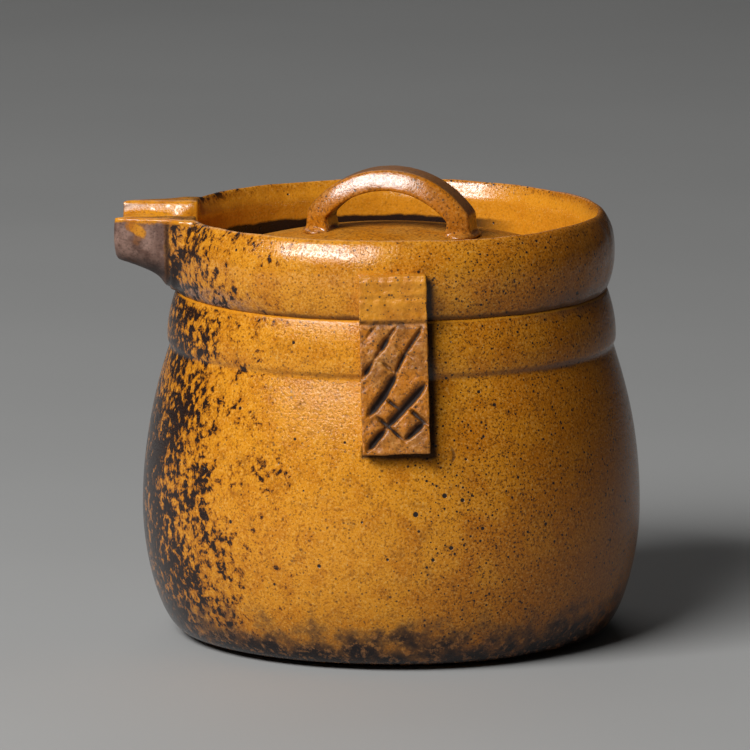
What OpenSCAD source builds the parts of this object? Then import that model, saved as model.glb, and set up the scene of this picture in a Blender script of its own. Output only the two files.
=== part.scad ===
// Hand-gripped pottery teapot: a bellied pot with an open beak spout, two carved grip lugs and a
// loose domed lid that sits on a ledge inside the collar.
// Millimetres. The pot stands on z = 0 and is turned about the Z axis. The spout points along -X
// and the front lug faces -Y.

/* [Belly] */
// Radius of the belly at its widest
belly_r = 44; // [42:0.5:48]
// Height of the widest part of the belly
belly_z = 22.5; // [18:0.5:28]
// Radius of the bottom edge, where the belly turns under
base_r = 37.2; // [35.5:0.1:40]
// Radius of the flat foot
foot_r = 34; // [30:0.5:35]
// Height of the foot below the bottom edge
foot_h = 1; // [0.6:0.1:2]
// Thickness of the belly wall
belly_wall = 4; // [3:0.1:5]
// Thickness of the floor above the foot
floor_t = 5; // [4:0.1:7]

/* [Neck and collar] */
// Inside radius of the neck and of the collar
bore_r = 35; // [33.5:0.1:36]
// Height of the groove that parts the belly from the neck band
groove_z = 51.8; // [48:0.1:58]
// Wall of the neck at the bottom of that groove
neck_wall = 4; // [3:0.1:4.6]
// Height of the neck band, from the groove to the collar's seam
neck_h = 9.7; // [7:0.1:12]
// How far the neck band swells past the bottom of the groove
neck_swell = 1.1; // [0.5:0.1:1.6]
// Wall of the neck and of the collar at the seam between them
seam_wall = 2.9; // [2:0.1:3.2]
// Height of the collar, from the seam to the top of the lip
collar_h = 13.9; // [12:0.1:17]
// How far the collar swells past the seam
collar_swell = 1.4; // [1:0.1:2.5]
// Thickness of the lip under its rounded top
lip_w = 3.4; // [2.6:0.1:4]
// Height of the lip's rounded top
lip_round = 1.6; // [1:0.1:2.4]

/* [Lid seat] */
// Width of the ledge that carries the lid
ledge_w = 5.5; // [4.5:0.1:7]
// Thickness of the ledge
ledge_t = 4; // [3.4:0.1:5]
// Height of the ledge's top above the collar's seam
ledge_lap = 1; // [0.6:0.1:1.8]
// Number of strainer slots cut in the ledge beside the spout
slot_count = 5; // [3:2:7]
// Width of a strainer slot
slot_w = 1.5; // [1:0.1:2]
// Depth of a strainer slot
slot_depth = 2; // [1.2:0.1:2.6]
// Distance between the middles of two strainer slots
slot_pitch = 3; // [2.6:0.1:3.6]

/* [Lid] */
// Gap between the lid's edge and the collar's bore
lid_gap = 1.2; // [0.8:0.1:2]
// Thickness of the lid at its edge
lid_edge_t = 4; // [3.4:0.1:5]
// Radius of the rounding along the lid's upper edge
lid_edge_round = 1.2; // [0.6:0.1:1.6]
// Rise of the lid's dome above its edge
lid_rise = 5.5; // [4:0.1:7]
// Thickness of the dome
lid_wall = 4.5; // [3.5:0.1:5.5]
// Gap between the lid's flange and the ledge
flange_gap = 1.2; // [0.8:0.1:1.8]
// Wall of the flange under the lid
flange_t = 3.2; // [2.4:0.1:4]
// Height of the flange
flange_h = 4.5; // [3:0.1:7]

/* [Lid handle] */
// Width of the arch over its two legs
handle_span = 29.2; // [25:0.2:34]
// Height of the arch above the lid's crown
handle_rise = 10.6; // [9:0.1:13]
// Height of the straight legs above the lid's crown
leg_rise = 3; // [2.4:0.1:4.5]
// Thickness of the strap
strap_t = 3.3; // [2.4:0.1:4]
// Width of the strap
strap_w = 9; // [7:0.5:12]
// How far the toes of the legs spread on the lid
toe = 0.8; // [0.4:0.1:1.4]
// Height of the toes above the lid
toe_h = 1.2; // [0.8:0.1:1.6]
// Angle that the lid is turned to on its seat
lid_turn = -14; // [-90:1:90]

/* [Spout] */
// Reach of the beak beyond the belly, so that a drip falls clear of it
spout_reach = 4.7; // [3.5:0.1:9]
// Outside width of the beak at its tip
spout_w = 21; // [18:0.2:24]
// Outside width of the beak where it meets the collar
spout_root_w = 25; // [24:0.2:28]
// Outside height of the beak at its tip
spout_h = 8; // [7.4:0.1:9]
// Outside height of the beak where it meets the collar
spout_root_h = 11.6; // [10.5:0.1:12.5]
// Fillet that spreads the beak onto the collar
spout_flare = 1.8; // [0.8:0.1:2.4]
// Length over which that fillet fades out along the beak
flare_fade = 0.9; // [0.6:0.1:1.6]
// Rounding at the tip of the beak
tip_round = 1.4; // [0.8:0.1:2]
// Wall of the beak beside the channel, at its tip
spout_wall = 4; // [3.2:0.1:4.8]
// Thickness of the beak's floor at its tip
spout_floor = 2.4; // [2:0.1:3]
// Height of the sill that the channel leaves in the collar, above the seam
sill_h = 2.6; // [2:0.1:3.6]
// Angle that the beak is turned from the -X axis
spout_turn = 0; // [-6:1:6]

/* [Lugs] */
// Width of a lug
lug_w = 11.6; // [9:0.2:14]
// Height of a lug
lug_h = 30.4; // [26:0.2:34]
// Drop from the top of the lip to the top of a lug
lug_drop = 5.7; // [4.5:0.1:7]
// Thickness of a lug over the collar
lug_t = 2.4; // [1.8:0.1:3]
// Thickness of a lug over the belly at its lower end
lug_end_t = 3; // [2.2:0.1:4]
// Lean of a lug from upright
lug_lean = 1.5; // [0:0.5:4]
// Width of a carved groove
carve_w = 1.4; // [0.8:0.1:2]
// Depth of a carved groove
carve_depth = 0.8; // [0.4:0.1:1.2]
// Distance up the lug between two slanting grooves
carve_pitch = 6.6; // [5:0.1:8]
// Slope of the slanting grooves
carve_angle = 48; // [40:1:56]
// Slope of the two crossing grooves near the lower end
cross_angle = 38; // [30:1:46]
// Length of a crossing groove
cross_length = 7; // [5:0.1:9]

/* [Hidden] */
$fn = 96;

// Steps along one curve of a turned outline, and along the beak and its sections
curve_steps = 10;
beak_steps = 14;
// How far a cutting shape runs past the face that it cuts
past = 1;

// Heights and radii that follow from the sizes above
floor_z = foot_h + floor_t;
groove_r = bore_r + neck_wall;
seam_z = groove_z + neck_h;
seam_r = bore_r + seam_wall;
collar_r = seam_r + collar_swell;
lip_r = bore_r + lip_w;
rim_z = seam_z + collar_h;
ledge_z = seam_z + ledge_lap;
ledge_r = bore_r - ledge_w;
lid_r = bore_r - lid_gap;
crown_z = ledge_z + lid_edge_t + lid_rise;
flange_r = ledge_r - flange_gap;
hollow_r = flange_r - flange_t;

// Shape of the turned curves: how far each handle of a curve reaches, as a share of its climb
belly_out = 0.44;
belly_up = 0.03;
belly_full = 0.49;
shoulder_low = 0.37;
shoulder_high = 0.33;
shoulder_slope = 0.33;
neck_low = 0.08;
neck_high = 0.5;
neck_taper = 0.4;
collar_full = 0.47;
collar_foot = [0.35, 0.1];
collar_low = 0.45;
collar_high = 0.5;
lip_lean = 0.2;

// Points of a cubic curve with four control points, without its first point
function curve(p, n = curve_steps) =
    [for (i = [1:n]) let (t = i / n, s = 1 - t)
        s * s * s * p[0] + 3 * s * s * t * p[1] + 3 * s * t * t * p[2] + t * t * t * p[3]];

// Points of an arc about c with half axes a and b, from angle g to angle h
function arc(c, a, b, g, h, n = curve_steps) =
    [for (i = [0:n]) let (q = g + (h - g) * i / n) c + [a * cos(q), b * sin(q)]];

// Outside of the pot as [radius, height], from the foot up to the seam
function lower_belly() =
    let (climb = belly_z - foot_h)
    curve([[base_r, foot_h],
           [base_r + belly_out * (belly_r - base_r), foot_h + belly_up * climb],
           [belly_r, belly_z - belly_full * climb],
           [belly_r, belly_z]]);
function shoulder() =
    let (climb = groove_z - belly_z)
    curve([[belly_r, belly_z],
           [belly_r, belly_z + shoulder_low * climb],
           [groove_r + shoulder_slope * shoulder_high * climb, groove_z - shoulder_high * climb],
           [groove_r, groove_z]]);
function neck_band() =
    curve([[groove_r, groove_z],
           [groove_r + neck_swell, groove_z + neck_low * neck_h],
           [groove_r + neck_taper * neck_swell, groove_z + neck_high * neck_h],
           [seam_r, seam_z]]);
function pot_outside() =
    concat([[0, 0], [foot_r, 0], [foot_r, foot_h], [base_r, foot_h]],
           lower_belly(), shoulder(), neck_band());

// Inside of the pot, from the seam down to the middle of the floor
function pot_inside() =
    let (r = belly_r - belly_wall, climb = groove_z - belly_z, drop = belly_z - floor_z)
    concat([[bore_r, seam_z], [bore_r, groove_z]],
           curve([[bore_r, groove_z],
                  [bore_r + shoulder_slope * shoulder_high * climb, groove_z - shoulder_high * climb],
                  [r, belly_z + shoulder_low * climb],
                  [r, belly_z]]),
           curve([[r, belly_z],
                  [r, belly_z - belly_full * drop],
                  [base_r - belly_wall / 2, floor_z],
                  [foot_r - belly_wall, floor_z]]),
           [[0, floor_z]]);

// Outside of the collar, from the seam up and over the rounded lip to the bore
full_z = seam_z + collar_full * collar_h;
lip_z = rim_z - lip_round;
function collar_outside() =
    concat([[seam_r, seam_z]],
           curve([[seam_r, seam_z],
                  [seam_r + collar_foot[0] * collar_swell, seam_z + collar_foot[1] * (full_z - seam_z)],
                  [collar_r, full_z - collar_low * (full_z - seam_z)],
                  [collar_r, full_z]]),
           curve([[collar_r, full_z],
                  [collar_r, full_z + collar_high * (lip_z - full_z)],
                  [lip_r + lip_lean * collar_swell, lip_z - lip_lean * (lip_z - full_z)],
                  [lip_r, lip_z]]),
           arc([bore_r + lip_w / 2, lip_z], lip_w / 2, lip_round, 180 / curve_steps, 180));

// Everything inside the outer surface of the pot and of the collar, as one solid
module outer_form() {
    rotate_extrude() polygon(concat(pot_outside(), collar_outside(), [[0, lip_z]]));
}

// Half width of the beak, and height of its underside, at a distance x from the axis
tip_x = belly_r + spout_reach;
beak_side_x = sqrt(pow(collar_r, 2) - pow(spout_root_w / 2, 2));
beak_root_x = sqrt(pow(seam_r, 2) - pow(spout_root_w / 2 + spout_flare, 2)) - past;
function taper(x) = min(1, (tip_x - x) / (tip_x - collar_r));
function fade(d) = exp(-max(0, d) / flare_fade);
function beak_half_w(x) =
    (spout_w + (spout_root_w - spout_w) * taper(x)) / 2 + spout_flare * fade(x - beak_side_x);
function beak_under(x) =
    let (root_flare = collar_h - spout_root_h)
    rim_z - spout_h - (spout_root_h - spout_h) * taper(x) - root_flare * fade(x - collar_r);

// One section across the beak: flat on top, with full, rounded cheeks and underside
beak_fullness = 0.62;
function beak_section(x, w, under) =
    [for (i = [0:beak_steps]) let (q = 180 * i / beak_steps)
        [-x,
         sign(cos(q)) * w * pow(abs(cos(q)), beak_fullness),
         rim_z - (rim_z - under) * pow(max(0, sin(q)), beak_fullness)]];

// Solid through sections that have the same number of points, closed by the first and the last
module loft(sections) {
    n = len(sections[0]);
    last = len(sections) - 1;
    points = [for (s = sections) each s];
    sides = [for (k = [0:last - 1]) for (i = [0:n - 1])
        let (a = k * n + i, b = k * n + (i + 1) % n) each [[a, b + n, b], [a, a + n, b + n]]];
    ends = [[for (i = [0:n - 1]) i], [for (i = [n - 1:-1:0]) last * n + i]];
    polyhedron(points = points, faces = concat(sides, ends), convexity = 6);
}

module at_spout() {
    rotate([0, 0, -spout_turn]) children();
}

module beak_form() {
    straight = tip_x - tip_round - beak_root_x;
    stations = [for (i = [0:beak_steps]) beak_root_x + straight * i / beak_steps];
    loft(concat([for (x = stations) beak_section(x, beak_half_w(x), beak_under(x))],
                [beak_section(tip_x, spout_w / 2 - tip_round, rim_z - spout_h + tip_round)]));
}

// Trough of the beak, with rounded corners, climbing from the sill in the collar to the tip
channel_w = spout_w - 2 * spout_wall;
channel_round = channel_w / 3;
channel_slope = atan((collar_h - spout_h + spout_floor - sill_h) / (tip_x - bore_r));
module channel() {
    run_in = 6 * past;
    corner = channel_w / 2 - channel_round;
    outline = concat(arc([channel_round, -corner], channel_round, channel_round, 270, 180),
                     arc([channel_round, corner], channel_round, channel_round, 180, 90),
                     [[2 * collar_h, channel_w / 2], [2 * collar_h, -channel_w / 2]]);
    translate([run_in - bore_r, 0, seam_z + sill_h - run_in * tan(channel_slope)])
        rotate([0, channel_slope - 90, 0])
            linear_extrude(height = tip_x - bore_r + 3 * run_in) polygon(outline);
}

// Upper face of the lid as [radius, height], from the crown out to its rounded edge
function dome_z(r) = crown_z - lid_rise * pow(r / lid_r, 2);
function dome() =
    let (r = lid_r - lid_edge_round)
    concat([for (i = [0:curve_steps]) [r * i / curve_steps, dome_z(r * i / curve_steps)]],
           curve([[r, dome_z(r)],
                  [r + lid_edge_round / 2, dome_z(r + lid_edge_round / 2)],
                  [lid_r, dome_z(lid_r) - lid_edge_round / 3],
                  [lid_r, dome_z(lid_r) - lid_edge_round]], 5));

// Front view of the handle: an arc on two straight legs with spread toes, running down into the lid
handle_half = handle_span / 2;
leg_in = handle_half - strap_t;
arch_rise = handle_rise - leg_rise;
arch_r = (pow(arch_rise, 2) + pow(handle_half, 2)) / (2 * arch_rise);
arch_z = crown_z + handle_rise - arch_r;
toe_z = dome_z(leg_in) + toe_h;
buried_z = dome_z(norm([handle_half + toe, strap_w / 2])) - past;
function arch_half_angle(r, half) = asin(half / r);
function handle_outline() =
    let (g = arch_half_angle(arch_r, handle_half), h = arch_half_angle(arch_r - strap_t, leg_in))
    concat([[-handle_half - toe, buried_z], [-handle_half - toe / 4, toe_z]],
           arc([0, arch_z], arch_r, arch_r, 90 + g, 90 - g, 2 * curve_steps),
           [[handle_half + toe / 4, toe_z], [handle_half + toe, buried_z],
            [leg_in - toe, buried_z], [leg_in - toe / 4, toe_z]],
           arc([0, arch_z], arch_r - strap_t, arch_r - strap_t, 90 - h, 90 + h, 2 * curve_steps),
           [[-leg_in + toe / 4, toe_z], [-leg_in + toe, buried_z]]);

// Side view of a lug as [radius, height]: over the collar, creased at the seam, down on the belly
lug_top_z = rim_z - lug_drop;
lug_end_z = lug_top_z - lug_h;
lug_face_r = collar_r + lug_t;
lug_end_r = lookup(lug_end_z, [for (p = shoulder()) [p[1], p[0]]]) + lug_end_t;
crease_w = carve_w / 2;
function lug_outline() =
    [[bore_r, lug_top_z], [lug_face_r, lug_top_z],
     [lug_face_r, seam_z + crease_w], [lug_face_r - carve_depth, seam_z], [lug_face_r, seam_z - crease_w],
     [lug_end_r, lug_end_z], [bore_r, lug_end_z]];

// One carved groove of a lug, on the face's own axes: across, up and out
module carve(at, angle, length) {
    translate([at[0], at[1], 0])
        rotate([0, 0, angle])
            rotate([90, 0, 90])
                translate([0, 0, -length / 2])
                    linear_extrude(height = length)
                        polygon([[0, -carve_depth], [carve_w, carve_depth], [-carve_w, carve_depth]]);
}

// All carved grooves, laid on the slanting face between the lower end and the crease
face_h = norm([lug_end_r - lug_face_r, seam_z - crease_w - lug_end_z]);
face_tilt = atan((lug_end_r - lug_face_r) / (seam_z - crease_w - lug_end_z));
slant_count = floor(face_h / carve_pitch) + 1;
cross_at = [-1, 4.4];
cross_step = [3, 3];
module carving() {
    reach = 2 * lug_w / cos(carve_angle);
    translate([lug_end_r, 0, lug_end_z])
        rotate([0, -face_tilt, 0])
            rotate([90, 0, 90])
                intersection() {
                    union() {
                        for (i = [0:slant_count - 1]) carve([0, i * carve_pitch], carve_angle, reach);
                        for (i = [0:1]) carve(cross_at + i * cross_step, -cross_angle, cross_length);
                    }
                    translate([-lug_w, -past, -lug_end_t]) cube([2 * lug_w, face_h + past - crease_w, 2 * lug_end_t]);
                }
}

// A lug on the +X side of the pot
module lug() {
    difference() {
        translate([0, 0, lug_top_z])
            rotate([lug_lean, 0, 0])
                translate([0, 0, -lug_top_z])
                    difference() {
                        rotate([90, 0, 0])
                            linear_extrude(height = lug_w, center = true) polygon(lug_outline());
                        carving();
                    }
        outer_form();
    }
}

// Belly with its foot, floor and neck band
module pot_body() {
    color("darkgoldenrod") rotate_extrude() polygon(concat(pot_outside(), pot_inside()));
}

// Collar with its rolled lip, open where the channel of the beak leads in
module rim_collar() {
    color("goldenrod")
        difference() {
            rotate_extrude() polygon(concat(collar_outside(), [[bore_r, seam_z]]));
            at_spout() channel();
        }
}

// Ledge inside the neck, laid across the seam, with the strainer slots beside the spout
module lid_ledge() {
    color("peru")
        difference() {
            rotate_extrude() translate([ledge_r, ledge_z - ledge_t]) square([ledge_w, ledge_t]);
            at_spout()
                for (i = [0:slot_count - 1])
                    translate([-bore_r - past, (i - (slot_count - 1) / 2) * slot_pitch - slot_w / 2, ledge_z - slot_depth])
                        cube([ledge_w + 4 * past, slot_w, slot_depth + past]);
        }
}

// Open beak, standing on the outside of the collar
module spout_beak() {
    color("dimgray")
        difference() {
            at_spout() beak_form();
            at_spout() channel();
            outer_form();
        }
}

// Lug that faces the front
module front_lug() {
    color("saddlebrown") rotate([0, 0, -90]) lug();
}

// Lug on the far side
module back_lug() {
    color("saddlebrown") rotate([0, 0, 90]) lug();
}

// Domed lid, flat underneath where it sits on the ledge and hollowed inside the flange
module lid_plate() {
    color("chocolate")
        rotate_extrude()
            polygon(concat(dome(),
                           [[lid_r, ledge_z], [hollow_r, ledge_z]],
                           [for (i = [curve_steps:-1:0]) let (r = hollow_r * i / curve_steps) [r, dome_z(r) - lid_wall]]));
}

// Flange under the lid, which keeps the lid centred on the ledge
module lid_flange() {
    color("chocolate")
        rotate_extrude() translate([hollow_r, ledge_z - flange_h]) square([flange_t, flange_h]);
}

// Strap handle, standing on the dome
module lid_handle() {
    color("sienna")
        difference() {
            rotate([0, 0, lid_turn])
                rotate([90, 0, 0])
                    linear_extrude(height = strap_w, center = true) polygon(handle_outline());
            rotate_extrude() polygon(concat(dome(), [[lid_r, ledge_z], [0, ledge_z]]));
        }
}

pot_body();
rim_collar();
lid_ledge();
spout_beak();
front_lug();
back_lug();
lid_plate();
lid_flange();
lid_handle();
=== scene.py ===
"""Hand-gripped pottery teapot, dressed over its packed CAD model.

Each clay piece is modelled in metres in the CAD model's own frame: +Z up, the spout along -X and the front
lug facing -Y. The pieces replace the CAD nodes of the same place and ride on the same bodies.
"""
import math
from functools import partialmethod
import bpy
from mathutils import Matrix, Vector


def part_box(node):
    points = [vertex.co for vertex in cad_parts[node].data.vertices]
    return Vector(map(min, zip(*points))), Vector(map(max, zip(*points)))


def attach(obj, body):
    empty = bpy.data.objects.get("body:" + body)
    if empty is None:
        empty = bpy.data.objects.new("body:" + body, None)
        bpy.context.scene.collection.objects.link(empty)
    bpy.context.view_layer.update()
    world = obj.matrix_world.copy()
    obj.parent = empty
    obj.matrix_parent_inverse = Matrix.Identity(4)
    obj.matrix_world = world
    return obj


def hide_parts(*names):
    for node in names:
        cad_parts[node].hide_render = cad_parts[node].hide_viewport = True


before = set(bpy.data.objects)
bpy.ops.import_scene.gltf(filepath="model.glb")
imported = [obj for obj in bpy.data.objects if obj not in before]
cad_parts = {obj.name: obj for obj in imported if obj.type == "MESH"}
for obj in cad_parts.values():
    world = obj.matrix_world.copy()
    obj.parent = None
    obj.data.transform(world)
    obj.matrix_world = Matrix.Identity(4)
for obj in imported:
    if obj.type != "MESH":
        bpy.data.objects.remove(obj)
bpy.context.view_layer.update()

from types import SimpleNamespace

import bpy
from mathutils import Matrix, Vector

bl_info = {
    "name": "Pottery Teapot",
    "version": (1, 0, 0),
    "blender": (4, 5, 0),
    "location": "3D View > Sidebar > Teapot",
    "description": "Models a wood-fired teapot with a beak spout, carved lugs and a loose lid",
    "category": "Add Mesh",
}

MM = 0.001
WHEEL_STEPS = 160
LIP_STEPS = 9
# Points inside the lip, as shares of the slope's width and height
LIP_INSIDE = ((1.0, 0.16), (0.5, 0.58), (0.0, 1.0))
# How far the handles of the belly's curves reach below the groove, and above and below its widest part
GROOVE_PULL, RISE_PULL, FALL_PULL = 0.33, 0.37, 0.49
# Pinholes on the front of the belly, as places and radii, and the middle of the arc of a nail
# mark, all in millimetres
PINHOLES = (((4.1, -43.6, 28.7), 0.55), ((9.1, -42.6, 31.8), 0.52), ((12.2, -41.9, 30.9), 0.45),
            ((7.1, -43.4, 20.7), 0.38), ((26.7, -34.9, 25.4), 0.38), ((15.0, -37.0, 49.0), 0.35))
NAIL_MARK = (9.0, -41.5, 38.7)
POT_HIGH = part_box("pot_body")[1]
COLLAR_LOW, COLLAR_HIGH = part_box("rim_collar")
LUG_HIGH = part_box("front_lug")[1]
BEAK_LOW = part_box("spout_beak")[0]


def length(name, millimetres, description):
    """A length property, written in millimetres and kept in metres."""
    return bpy.props.FloatProperty(
        name=name, description=description, default=millimetres * MM, min=0.0, precision=4, unit="LENGTH")


def angle(name, degrees, description):
    """An angle property, written in degrees."""
    return bpy.props.FloatProperty(
        name=name, description=description, default=math.radians(degrees), subtype="ANGLE")


def colour(name, rgb, description):
    """A colour property in linear values."""
    return bpy.props.FloatVectorProperty(
        name=name, description=description, default=rgb, size=3, min=0.0, max=1.0, subtype="COLOR")


class PotSizes(bpy.types.PropertyGroup):
    """Sizes of the belly, the neck and the collar."""
    belly_r: length("Belly radius", POT_HIGH.x / MM, "Radius of the belly at its widest")
    belly_z: length("Belly height", 22.5, "Height of the widest part of the belly")
    base_r: length("Base radius", 37.2, "Radius of the bottom edge, where the belly turns under")
    foot_r: length("Foot radius", 34, "Radius of the flat foot")
    foot_h: length("Foot height", 1, "Height of the foot below the bottom edge")
    belly_wall: length("Belly wall", 4, "Thickness of the belly wall")
    floor_t: length("Floor", 5, "Thickness of the floor above the foot")
    bore_r: length("Bore radius", 35, "Inside radius of the neck and of the collar")
    groove_z: length("Groove height", 51.8, "Height of the groove between belly and neck band")
    neck_wall: length("Neck wall", 4, "Wall of the neck at the bottom of the groove")
    neck_swell: length("Neck swell", 1.1, "How far the neck band swells past the groove")
    seam_z: length("Seam height", COLLAR_LOW.z / MM, "Height of the seam between neck and collar")
    seam_wall: length("Seam wall", 2.9, "Wall of the neck and the collar at the seam")
    rim_z: length("Rim height", COLLAR_HIGH.z / MM, "Height of the top of the collar's lip")
    collar_swell: length("Collar swell", 1.4, "How far the collar swells past the seam")
    lip_w: length("Lip width", 2.5, "Thickness of the lip under its rounded top")
    lip_round: length("Lip rounding", 1.35, "Radius of the lip's rounded top")
    lip_slope: angle("Lip slope", 31, "Slope of the collar's outer face under the lip")
    slope_w: length("Slope width", 1.35, "Width of the slope inside the lip")
    slope_h: length("Slope height", 3.2, "Height of the slope inside the lip")
    dent: length("Dents", 0.34, "Depth of the shallow dents left by the potter's hands")


class SpoutSizes(bpy.types.PropertyGroup):
    """Sizes of the beak spout."""
    tip_x: length("Reach", -BEAK_LOW.x / MM, "Distance of the beak's tip from the pot's axis")
    tip_w: length("Tip width", 21, "Outside width of the beak at its tip")
    root_w: length("Root width", 25, "Outside width of the beak where it meets the collar")
    tip_h: length("Tip height", 8.4, "Outside height of the beak at its tip")
    root_h: length("Root height", 11.6, "Outside height of the beak where it meets the collar")
    flare: length("Flare", 1.8, "Fillet that spreads the beak onto the collar")
    fade: length("Flare length", 0.9, "Length over which the fillet fades out along the beak")
    tip_round: length("Tip rounding", 1.4, "Rounding at the tip of the beak")
    wall: length("Wall", 4, "Wall of the beak beside the channel")
    floor_t: length("Floor", 2.4, "Thickness of the beak's floor at its tip")
    sill_h: length("Sill", 2.6, "Height of the sill that the channel leaves in the collar")
    slant: length("Channel slant", 1.1, "How much wider the channel is at the top than at its floor")
    edge: length("Sloping edge", 0.5, "Width of the sloping upper edge of the channel")
    spread: length("Spread", 3.9, "How far the channel's sloping edges spread over 30 mm towards the tip")
    skew: length("Skew", 1.1, "How much shorter the far wall of the beak is than the near one")
    seam_x: length("Luting seam", 39.15, "Distance of the seam between beak and collar from the pot's axis")
    seam_depth: length("Seam depth", 0.35, "Depth of the crease along the luting seam")
    dent: length("Dents", 0.3, "Depth of the small dents left by pinching the beak")


class LidSizes(bpy.types.PropertyGroup):
    """Sizes of the lid, its handle and the ledge that it sits on."""
    ledge_w: length("Ledge width", 5.5, "Width of the ledge that carries the lid")
    ledge_t: length("Ledge thickness", 4, "Thickness of the ledge")
    ledge_lap: length("Ledge lap", 1, "Height of the ledge's top above the collar's seam")
    slot_w: length("Slot width", 1.5, "Width of a strainer slot")
    slot_depth: length("Slot depth", 2, "Depth of a strainer slot")
    slot_pitch: length("Slot pitch", 3, "Distance between the middles of two strainer slots")
    gap: length("Lid gap", 1.2, "Gap between the lid's edge and the collar's bore")
    edge_t: length("Edge thickness", 4, "Thickness of the lid at its edge")
    edge_round: length("Edge rounding", 1.2, "Rounding along the lid's upper edge")
    rise: length("Dome rise", 5.5, "Rise of the lid's dome above its edge")
    wall: length("Dome wall", 4.5, "Thickness of the dome")
    flange_gap: length("Flange gap", 1.2, "Gap between the lid's flange and the ledge")
    flange_t: length("Flange wall", 3.2, "Wall of the flange under the lid")
    flange_h: length("Flange height", 4.5, "Height of the flange")
    span: length("Handle span", 29.2, "Width of the arch over its two legs")
    arch: length("Handle rise", 10.6, "Height of the arch above the lid's crown")
    leg: length("Leg rise", 3, "Height of the straight legs above the lid's crown")
    strap_t: length("Strap thickness", 3.6, "Thickness of the strap")
    strap_w: length("Strap width", 9, "Width of the strap")
    facet: length("Slant", 1.55, "How far the strap's side faces slant back towards its upper face")
    bulge: length("Bulge", 0.22, "How far the strap's side faces are rounded out")
    toe: length("Toe", 0.8, "How far the toes of the legs spread on the lid")
    toe_h: length("Toe height", 1.2, "Height of the toes above the lid")
    pad_l: length("Pad length", 6.4, "Length of the clay pad under each leg, along the strap")
    pad_w: length("Pad width", 11, "Width of the clay pad under each leg, across the strap")
    pad_h: length("Pad height", 0.9, "Height of the clay pad under each leg above the lid")
    turn: angle("Lid turn", -14, "Angle that the lid is turned to on its seat")


class LugSizes(bpy.types.PropertyGroup):
    """Sizes of the carved grip lugs."""
    width: length("Width", 11.6, "Width of a lug")
    top_z: length("Top height", LUG_HIGH.z / MM, "Height of the top of a lug")
    drop: length("Length", 30.4, "Height of a lug from end to end")
    face_r: length("Face radius", 41.7, "Distance of the lug's upper face from the pot's axis")
    end_t: length("End thickness", 3, "Thickness of a lug over the belly at its lower end")
    lean: angle("Lean", 1.5, "Lean of a lug from upright")


class GlazeColours(bpy.types.PropertyGroup):
    """Colours of the glazes and of what the fire left on them."""
    ochre: colour("Ochre", (0.61, 0.238, 0.012), "Pale ochre where the glaze is thick")
    amber: colour("Amber", (0.45, 0.142, 0.004), "Amber orange of the glaze")
    rust: colour("Rust", (0.23, 0.075, 0.007), "Rusty brown mottling")
    straw: colour("Straw", (0.76, 0.46, 0.13), "Pale crystals in the glaze")
    umber: colour("Umber", (0.11, 0.042, 0.010), "Dark grains in the glaze")
    iron: colour("Iron", (0.022, 0.016, 0.014), "Iron specks and pinholes")
    char: colour("Char", (0.012, 0.007, 0.007), "Purple-black scorch marks")
    plum: colour("Plum", (0.12, 0.062, 0.045), "Dry purple-brown of the smoked edges")
    lilac: colour("Lilac", (0.29, 0.175, 0.135), "Dry lilac-brown of the beak")
    toffee: colour("Toffee", (0.36, 0.155, 0.034), "Thin brown glaze of lid, handle and lugs")


class StageSettings(bpy.types.PropertyGroup):
    """Floor, light and camera."""
    floor: colour("Floor", (0.315, 0.315, 0.31), "Colour of the pale floor")
    key: bpy.props.FloatProperty(
        name="Key light", description="Strength of the soft key light", default=20.5, min=0.0)
    fill: bpy.props.FloatProperty(
        name="Sky light", description="Strength of the even light from all round", default=0.02, min=0.0)
    lens: bpy.props.FloatProperty(
        name="Lens", description="Focal length of the camera in millimetres", default=413.6, min=1.0)


def drop_selection():
    """Leaves edit mode and deselects everything."""
    if bpy.context.object is not None and bpy.context.object.mode != "OBJECT":
        bpy.ops.object.mode_set(mode="OBJECT")
    bpy.ops.object.select_all(action="DESELECT")


def pick(piece):
    """Selects one piece alone and makes it active."""
    drop_selection()
    piece.select_set(True)
    bpy.context.view_layer.objects.active = piece


def draw(name, points, fill=True):
    """Draws a line through 3-D points, from a plane merged to one point, may fill it, and stays in edit mode."""
    drop_selection()
    bpy.ops.mesh.primitive_plane_add(size=MM, location=points[0])
    piece = bpy.context.object
    piece.name = piece.data.name = name
    bpy.ops.object.mode_set(mode="EDIT")
    bpy.ops.mesh.select_all(action="SELECT")
    bpy.ops.mesh.merge(type="CENTER")
    for a, b in zip(points, points[1:]):
        bpy.ops.mesh.extrude_vertices_move(TRANSFORM_OT_translate={"value": b - a})
    bpy.ops.mesh.select_all(action="SELECT")
    if fill:
        bpy.ops.mesh.edge_face_add()
    return piece


def extrude(offset):
    """Extrudes the selected face by a vector."""
    bpy.ops.mesh.extrude_region_move(TRANSFORM_OT_translate={"value": offset})


def settle(piece):
    """Merges doubled points, turns the faces outwards and puts the piece's place into its mesh."""
    if piece.mode != "EDIT":
        pick(piece)
        bpy.ops.object.mode_set(mode="EDIT")
    bpy.ops.mesh.select_all(action="SELECT")
    bpy.ops.mesh.remove_doubles(threshold=2e-6)
    bpy.ops.mesh.normals_make_consistent(inside=False)
    bpy.ops.object.mode_set(mode="OBJECT")
    bpy.ops.object.transform_apply()


def throw_on_wheel(name, outline):
    """Draws an outline of radius and height and spins it round the pot's axis."""
    piece = draw(name, [Vector((r, 0.0, z)) for r, z in outline], fill=False)
    bpy.ops.mesh.spin(steps=WHEEL_STEPS, angle=2 * math.pi, center=(0, 0, 0), axis=(0, 0, 1))
    settle(piece)
    bpy.ops.object.shade_smooth()
    return piece


def slab(name, outline, depth):
    """Draws a closed outline of 3-D points, fills it and extrudes it by a vector."""
    piece = draw(name, outline)
    extrude(depth)
    settle(piece)
    return piece


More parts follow.
